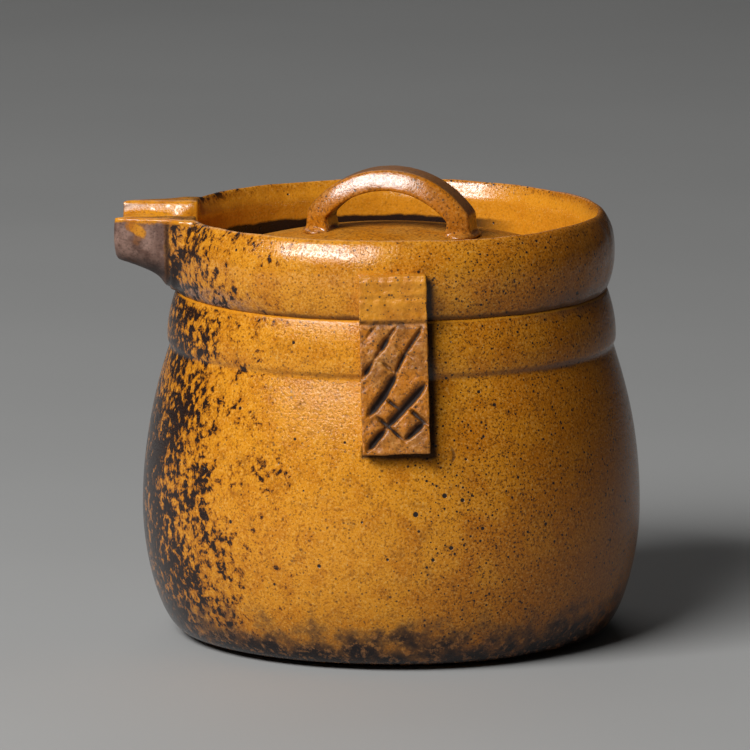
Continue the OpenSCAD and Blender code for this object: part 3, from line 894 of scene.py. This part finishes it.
class TEAPOT_OT_lay_ledge(bpy.types.Operator):
    """Lays the ledge that carries the lid and cuts its strainer slots"""
    bl_idname = "teapot.lay_ledge"
    bl_label = "Lay Ledge"

    def execute(self, context):
        scene = context.scene
        pot, lid, at = scene.teapot_pot, scene.teapot_lid, layout(scene)
        outline = ring(pot.bore_r, at.ledge_r, at.ledge_z - lid.ledge_t, at.ledge_z)
        piece = throw_on_wheel("lid_seat_ledge", soften(outline, step=0.4 * MM, passes=2))
        half, floor = lid.slot_w / 2, at.ledge_z - lid.slot_depth
        for i in range(-2, 3):
            corners = [Vector((-pot.bore_r - MM, i * lid.slot_pitch + a * half, floor + b * MM)) for a, b in
                       ((-1, 5), (-1, 0.4), (-0.5, 0), (0.5, 0), (1, 0.4), (1, 5))]
            cut(piece, slab("slot_cutter", corners, Vector((lid.ledge_w + 3 * MM, 0, 0))))
        knead(piece, grain=0.36 * MM, passes=3)
        dress(piece, "lid_ledge", "pot", glazes(scene)["glaze_amber"])
        return {"FINISHED"}


class TEAPOT_OT_raise_collar(bpy.types.Operator):
    """Rolls the collar, lutes the open beak to it and parts the two at the luting seam"""
    bl_idname = "teapot.raise_collar"
    bl_label = "Raise Collar and Beak"

    def form_beak(self, scene):
        """The solid beak, drawn out of the collar wall station by station."""
        pot, spout, at = scene.teapot_pot, scene.teapot_spout, layout(scene)
        side_x = math.sqrt(at.collar_r ** 2 - (spout.root_w / 2) ** 2)
        root_x = math.sqrt(at.seam_r ** 2 - (spout.root_w / 2 + spout.flare) ** 2) - MM
        end_x = spout.tip_x - spout.tip_round

        def shape(x):
            """Half width and height of the beak at a distance from the pot's axis."""
            taper = min(1.0, (spout.tip_x - x) / (spout.tip_x - at.collar_r))
            half = (spout.tip_w + (spout.root_w - spout.tip_w) * taper) / 2
            half += spout.flare * math.exp(-max(0.0, x - side_x) / spout.fade)
            tall = spout.tip_h + (spout.root_h - spout.tip_h) * taper
            tall += (at.collar_h - spout.root_h) * math.exp(-max(0.0, x - at.collar_r) / spout.fade)
            return half, tall

        half, tall = shape(root_x)
        sides, count, squareness = 36, 22, 0.62
        section = []
        for i in range(sides + 1):
            q = math.pi * i / sides
            wide, deep = abs(math.cos(q)) ** squareness, max(0.0, math.sin(q)) ** squareness
            section.append(Vector((-root_x, math.copysign(wide, math.cos(q)) * half, pot.rim_z - tall * deep)))
        piece = draw("beak_core", section)
        stations = [root_x + (end_x - root_x) * i / count for i in range(1, count + 1)]
        steps = [(x, *shape(x)) for x in stations]
        end_half, end_tall = steps[-1][1:]
        for i in range(1, 5):
            q = math.pi / 2 * i / 4
            inset = spout.tip_round * (1 - math.cos(q))
            steps.append((end_x + spout.tip_round * math.sin(q), end_half - inset, end_tall - inset))
        last_x = root_x
        for x, new_half, new_tall in steps:
            extrude(Vector((last_x - x, 0, 0)))
            bpy.ops.transform.resize(
                value=(1, new_half / half, new_tall / tall), center_override=(-x, 0, pot.rim_z))
            last_x, half, tall = x, new_half, new_tall
        settle(piece)
        for point in piece.data.vertices:
            out = max(0.0, -point.co.x - at.collar_r) / (spout.tip_x - at.collar_r)
            point.co.x += spout.skew * out * (point.co.y / spout.tip_w + 0.5)
        return piece

    def pinch_seam(self, scene, collar):
        """Presses a crease along the luting seam, on the outer faces only."""
        spout, at = scene.teapot_spout, layout(scene)
        pinch = collar.vertex_groups.new(name="Luting seam")
        for point in collar.data.vertices:
            away = (point.co.x + spout.seam_x) / (0.45 * MM)
            outside = point.co.y * point.normal.y > 0 and abs(point.normal.y) > 0.5 or point.normal.z < -0.4
            if abs(away) < 3 and outside and point.co.z < at.lip_z:
                pinch.add([point.index], math.exp(-away * away), "REPLACE")
        alter(collar, "DISPLACE", vertex_group=pinch.name, strength=-spout.seam_depth, mid_level=0.0)
        collar.vertex_groups.clear()

    def execute(self, context):
        scene = context.scene
        pot, spout, at = scene.teapot_pot, scene.teapot_spout, layout(scene)
        middle, lap = (pot.bore_r, (pot.seam_z + pot.rim_z) / 2), pot.seam_z - 0.3 * MM
        outline = [middle, (pot.bore_r, lap), (at.seam_r, lap)] + collar_outline(scene) + [middle]
        collar = throw_on_wheel("rolled_collar", soften(outline, step=0.6 * MM, passes=1))
        cut(collar, self.form_beak(scene), "UNION")
        bore = ((0, pot.groove_z), (pot.bore_r, pot.groove_z), (pot.bore_r, at.lip_z), (0, at.lip_z))
        cut(collar, throw_on_wheel("bore_cutter", bore))
        cut(collar, trough(scene, "trough_cutter"))
        cut(collar, lip_slope(scene, "slope_cutter"))
        knead(collar, grain=0.4 * MM, passes=8)
        self.pinch_seam(scene, collar)
        press(collar, size=24 * MM, depth=pot.dent)
        press(collar, size=6 * MM, depth=spout.dent)

        pick(collar)
        bpy.ops.object.duplicate()
        beak = bpy.context.object
        beak.name = beak.data.name = "beak_spout"
        reach = 60 * MM
        for piece, operation in ((collar, "DIFFERENCE"), (beak, "INTERSECT")):
            drop_selection()
            bpy.ops.mesh.primitive_cube_add(size=reach, location=(-spout.seam_x - reach / 2, 0, pot.rim_z))
            cut(piece, bpy.context.object, operation)
            bpy.ops.object.shade_smooth_by_angle(angle=math.radians(50))
        dress(collar, "rim_collar", "pot", glazes(scene)["glaze_amber"])
        dress(beak, "spout_beak", "pot", glazes(scene)["glaze_scorched"])
        return {"FINISHED"}


class TEAPOT_OT_carve_lugs(bpy.types.Operator):
    """Cuts the front lug, carves it and sets a copy on the far side"""
    bl_idname = "teapot.carve_lugs"
    bl_label = "Carve Lugs"

    # Tool strokes on the face in millimetres: width and depth, then points from the left edge and the lower end
    strokes = (
        (1.7, 0.7, ((1.1, 19.8), (2.2, 21.3), (3.5, 22.6))),
        (1.9, 1.2, ((0.2, 13.0), (1.3, 14.7), (2.4, 16.2))),
        (1.3, 0.8, ((1.9, 15.6), (3.3, 17.5), (5.0, 20.1), (6.8, 22.3))),
        (1.9, 1.1, ((3.0, 17.0), (4.1, 18.7), (5.3, 20.5))),
        (2.6, 1.4, ((1.0, 6.6), (2.6, 8.5), (4.1, 10.4), (5.1, 12.1), (6.1, 13.9))),
        (1.4, 1.0, ((5.4, 12.7), (6.9, 15.6), (7.9, 17.5), (9.4, 19.4), (10.9, 21.8))),
        (1.9, 1.2, ((6.3, 14.6), (7.3, 16.5), (8.2, 18.1))),
        (2.3, 1.4, ((0.6, 0.6), (2.2, 2.5), (4.2, 4.6))),
        (2.6, 1.4, ((3.9, 4.4), (5.2, 5.7), (6.6, 7.2), (8.7, 9.3), (11.2, 12.1))),
        (2.1, 1.3, ((7.0, 2.2), (8.9, 3.8), (11.0, 5.7))),
        (1.2, 1.2, ((2.2, 6.7), (4.5, 4.9), (5.7, 3.7), (7.6, 1.9))),
        (1.2, 1.2, ((3.7, 10.0), (5.6, 8.4), (7.5, 6.9))),
        (1.2, 1.2, ((7.7, 8.1), (9.6, 6.4), (11.7, 4.5))),
        (1.1, 0.9, ((2.8, 16.5), (4.8, 14.8), (6.5, 13.3))),
        (1.1, 0.9, ((6.3, 18.3), (7.7, 17.2), (9.1, 16.1))),
    )
    # Finger dents near the top of the face in millimetres: how far out, and how far below the top
    dents = ((0.06, 4.6), (-0.1, 3.9), (0.08, 3.2), (-0.06, 2.3), (0.1, 1.0), (-0.1, 0.5), (-0.2, 0.0))

    def execute(self, context):
        scene = context.scene
        lug, pot = scene.teapot_lug, scene.teapot_pot
        wall = belly_outline(scene) + collar_outline(scene)[:-LIP_STEPS - len(LIP_INSIDE)]
        end_z = lug.top_z - lug.drop
        end_r = radius_at(wall, end_z) + lug.end_t
        fold_z = pot.seam_z - 0.7 * MM
        tilt = (end_r - lug.face_r) / (fold_z - end_z)
        half = lug.width / 2

        def face_r(z):
            """Distance of the carved face from the pot's axis at a height."""
            return lug.face_r + max(0.0, fold_z - z) * tilt

        outline = [(face_r(end_z), end_z), (lug.face_r, fold_z), (lug.face_r - 0.5 * MM, pot.seam_z),
                   (lug.face_r, pot.seam_z + 0.8 * MM)]
        outline += [(lug.face_r + r * MM, lug.top_z - d * MM) for r, d in self.dents]
        back = [lug.top_z - lug.drop * i / 16 for i in range(17)]
        outline += [(radius_at(wall, z) - 0.8 * MM, z) for z in back]
        piece = slab("front_carved_lug", [Vector((-half, -r, z)) for r, z in outline], Vector((lug.width, 0, 0)))

        out = Vector((0, -1, tilt)).normalized()
        for width, depth, line in self.strokes:
            points = [Vector((u * MM - half, -face_r(end_z + v * MM), end_z + v * MM)) for u, v in line]
            lower = (points[-1] - points[0]).normalized().cross(out)
            points = soften(points, step=0.8 * MM, passes=2)
            sizes = [min(1.0, 0.4 + 0.3 * min(i, len(points) - 1 - i)) for i in range(len(points))]
            tool = draw("chisel", [points[0] + sizes[0] * MM * (a * width * lower + b * out)
                                   for a, b in ((-0.58, 0.3), (0.12, -depth), (0.36, 0.3))])
            for i in range(1, len(points)):
                extrude(points[i] - points[i - 1])
                bpy.ops.transform.resize(value=3 * (sizes[i] / sizes[i - 1],), center_override=points[i])
            settle(tool)
            cut(piece, tool)
        knead(piece, grain=0.17 * MM, passes=3)
        mark_carving(piece, face_r, half, full=1.25 * MM)
        press(piece, size=5 * MM, depth=0.25 * MM)
        press(piece, size=1.8 * MM, depth=0.3 * MM)
        top = Vector((0, 0, lug.top_z))
        piece.matrix_world = (
            Matrix.Translation(top) @ Matrix.Rotation(-lug.lean, 4, "Y") @ Matrix.Translation(-top))
        pick(piece)
        bpy.ops.object.transform_apply()

        bpy.ops.object.duplicate()
        copy = bpy.context.object
        copy.name = copy.data.name = "back_carved_lug"
        copy.rotation_euler = (0, 0, math.pi)
        bpy.ops.object.transform_apply()
        for made, node in ((piece, "front_lug"), (copy, "back_lug")):
            dress(made, node, "pot", glazes(scene)["glaze_carved"])
        return {"FINISHED"}


class TEAPOT_OT_press_lid(bpy.types.Operator):
    """Presses the domed lid and the flange under it"""
    bl_idname = "teapot.press_lid"
    bl_label = "Press Lid"

    def execute(self, context):
        scene = context.scene
        lid, at = scene.teapot_lid, layout(scene)
        shoulder, edge_z = at.lid_r - lid.edge_round, at.dome(at.lid_r)
        over = shoulder + lid.edge_round / 2
        top = [(shoulder * i / 20, at.dome(shoulder * i / 20)) for i in range(21)]
        top += curve((shoulder, at.dome(shoulder)), (over, at.dome(over)), (at.lid_r, edge_z - lid.edge_round / 3),
                     (at.lid_r, edge_z - lid.edge_round), 6)
        under = [(at.lid_r, at.ledge_z), (at.hollow_r, at.ledge_z)]
        under += [(at.hollow_r * i / 20, at.dome(at.hollow_r * i / 20) - lid.wall) for i in range(20, -1, -1)]
        plate = throw_on_wheel("domed_lid", soften(top + under, step=0.5 * MM, passes=2))
        outline = ring(at.hollow_r, at.flange_r, at.ledge_z - lid.flange_h, at.ledge_z)
        flange = throw_on_wheel("lid_centring_flange", soften(outline, step=0.3 * MM, passes=5))
        for made, node in ((plate, "lid_plate"), (flange, "lid_flange")):
            dress(made, node, "lid", glazes(scene)["glaze_lid"])
        return {"FINISHED"}


class TEAPOT_OT_bend_handle(bpy.types.Operator):
    """Bends the strap handle and presses its toes onto the lid"""
    bl_idname = "teapot.bend_handle"
    bl_label = "Bend Handle"

    def execute(self, context):
        scene = context.scene
        lid, at = scene.teapot_lid, layout(scene)
        half = lid.span / 2
        inner, leg = half - lid.strap_t, half - lid.strap_t / 2
        rise = lid.arch - lid.leg
        arch_r = (rise ** 2 + half ** 2) / (2 * rise)
        arch_z = at.crown_z + lid.arch - arch_r
        under_r = arch_r - lid.strap_t
        toe_z = at.dome(inner) + lid.toe_h
        buried = at.dome(math.hypot(half + lid.toe, lid.strap_w / 2)) - 1.2 * MM

        def arc(r, reach, way):
            """Points of an arc over the lid, out to a reach on both sides and drawn towards one of them."""
            turns = [math.asin(reach / r) * (1 - i / 20) for i in range(41)]
            return [(way * r * math.sin(q), arch_z + r * math.cos(q)) for q in turns]

        outline = [(-half - lid.toe, buried), (-half - lid.toe / 4, toe_z), *arc(arch_r, half, -1),
                   (half + lid.toe / 4, toe_z), (half + lid.toe, buried), (inner - lid.toe, buried),
                   (inner - lid.toe / 4, toe_z), *arc(under_r, inner, 1),
                   (-inner + lid.toe / 4, toe_z), (-inner + lid.toe, buried)]
        piece = slab("lid_strap", [Vector((s, -lid.strap_w / 2, z)) for s, z in outline], Vector((0, lid.strap_w, 0)))
        bpy.ops.object.mode_set(mode="EDIT")
        bpy.ops.mesh.select_all(action="SELECT")
        bpy.ops.mesh.quads_convert_to_tris(quad_method="BEAUTY", ngon_method="BEAUTY")
        settle(piece)
        for point in piece.data.vertices:
            s, y, z = point.co
            if abs(s) > leg or math.hypot(s, z - arch_z) > arch_r - lid.strap_t / 2:
                point.co.y -= math.copysign(lid.facet, y)
        for reach in (-leg, leg):
            drop_selection()
            bpy.ops.mesh.primitive_uv_sphere_add(
                segments=24, ring_count=12, radius=MM, location=(reach, 0, at.dome(reach)))
            pad = bpy.context.object
            pad.scale = (lid.pad_l / 2 / MM, lid.pad_w / 2 / MM, lid.pad_h / MM)
            cut(piece, pad, "UNION")
        knead(piece, grain=0.24 * MM, passes=10)
        for point in piece.data.vertices:
            s, y, z = point.co
            part = (math.hypot(s, z - arch_z) - under_r) / lid.strap_t
            if 0 < part < 1 and z > toe_z:
                near = min(1.0, abs(y) / (lid.strap_w / 2 - lid.facet * part))
                point.co.y += math.copysign(4 * part * (1 - part) * lid.bulge, y) * near ** 4
        press(piece, size=5 * MM, depth=0.16 * MM)
        piece.rotation_euler = (0, 0, lid.turn)
        bpy.ops.object.transform_apply()
        dress(piece, "lid_handle", "lid", glazes(scene)["glaze_strap"])
        return {"FINISHED"}


class TEAPOT_OT_set_stage(bpy.types.Operator):
    """Lays the floor and sets the lights and the camera"""
    bl_idname = "teapot.set_stage"
    bl_label = "Set Stage"

    # Area lamps: place, width, height and share of the key light's strength
    lamps = {"key": ((-0.603, -0.694, 0.811), 0.8, 0.46, 1.0), "back": ((-0.25, 0.85, 0.95), 1.0, 1.0, 0.09)}
    # Place of the camera, and how many degrees it looks down
    eye = (-2.91 * MM, -1.5, 303.6 * MM)
    dip = 9.76

    def execute(self, context):
        scene = context.scene
        stage = scene.teapot_stage
        drop_selection()
        bpy.ops.mesh.primitive_plane_add(size=9.0, location=(0, 1.0, 0))
        floor = bpy.context.object
        floor.name = floor.data.name = "floor"
        bpy.ops.object.transform_apply()
        material, bench, shader, where = start_material("pale_floor")
        shade = where.noise(9.0).ramp(0.3, 0.7)
        bench.feed(shader.inputs["Base Color"], bench.blend(shade * 0.06, stage.floor, (0.5, 0.5, 0.49)))
        bench.feed(shader.inputs["Roughness"], 0.75)
        floor.data.materials.append(material)

        scene.world = bpy.data.worlds.new("studio")
        scene.world.use_nodes = True
        sky = scene.world.node_tree.nodes["Background"]
        sky.inputs["Color"].default_value = (1.0, 0.98, 0.95, 1.0)
        sky.inputs["Strength"].default_value = stage.fill

        aim = Vector((0, 0, 40 * MM))
        for name, (place, wide, tall, part) in self.lamps.items():
            drop_selection()
            bpy.ops.object.light_add(type="AREA", location=place)
            lamp = bpy.context.object
            lamp.name = lamp.data.name = name
            lamp.data.shape = "RECTANGLE"
            lamp.data.size, lamp.data.size_y = wide, tall
            lamp.data.energy = part * stage.key
            lamp.rotation_euler = (aim - Vector(place)).to_track_quat("-Z", "Y").to_euler()

        bpy.ops.object.camera_add(location=self.eye, rotation=(math.radians(90 - self.dip), 0, 0))
        scene.camera = bpy.context.object
        scene.camera.data.lens = stage.lens
        scene.camera.data.sensor_width = 36.0
        scene.camera.data.clip_end = 50.0
        scene.view_settings.view_transform = "Standard"
        return {"FINISHED"}


class TEAPOT_PT_panel(bpy.types.Panel):
    """Lists the teapot's operators and settings"""
    bl_idname = "TEAPOT_PT_panel"
    bl_label = "Pottery Teapot"
    bl_space_type = "VIEW_3D"
    bl_region_type = "UI"
    bl_category = "Teapot"

    def draw(self, context):
        for step in STEPS:
            self.layout.operator(step.bl_idname)
        for group in GROUPS:
            box = self.layout.box()
            box.label(text=group.__doc__)
            settings = getattr(context.scene, GROUPS[group])
            for key in group.__annotations__:
                box.prop(settings, key)


GROUPS = {PotSizes: "teapot_pot", SpoutSizes: "teapot_spout", LidSizes: "teapot_lid", LugSizes: "teapot_lug",
          GlazeColours: "teapot_glaze", StageSettings: "teapot_stage"}
STEPS = (TEAPOT_OT_throw_pot, TEAPOT_OT_raise_collar, TEAPOT_OT_lay_ledge, TEAPOT_OT_carve_lugs,
         TEAPOT_OT_press_lid, TEAPOT_OT_bend_handle, TEAPOT_OT_set_stage)


def register():
    for group, key in GROUPS.items():
        bpy.utils.register_class(group)
        setattr(bpy.types.Scene, key, bpy.props.PointerProperty(type=group))
    for made in (*STEPS, TEAPOT_PT_panel):
        bpy.utils.register_class(made)


def unregister():
    for made in (TEAPOT_PT_panel, *reversed(STEPS)):
        bpy.utils.unregister_class(made)
    for group, key in reversed(GROUPS.items()):
        delattr(bpy.types.Scene, key)
        bpy.utils.unregister_class(group)


def main():
    """Registers the add-on and makes every piece and the stage."""
    register()
    bpy.ops.teapot.throw_pot()
    bpy.ops.teapot.raise_collar()
    bpy.ops.teapot.lay_ledge()
    bpy.ops.teapot.carve_lugs()
    bpy.ops.teapot.press_lid()
    bpy.ops.teapot.bend_handle()
    bpy.ops.teapot.set_stage()


if __name__ == "__main__":
    main()
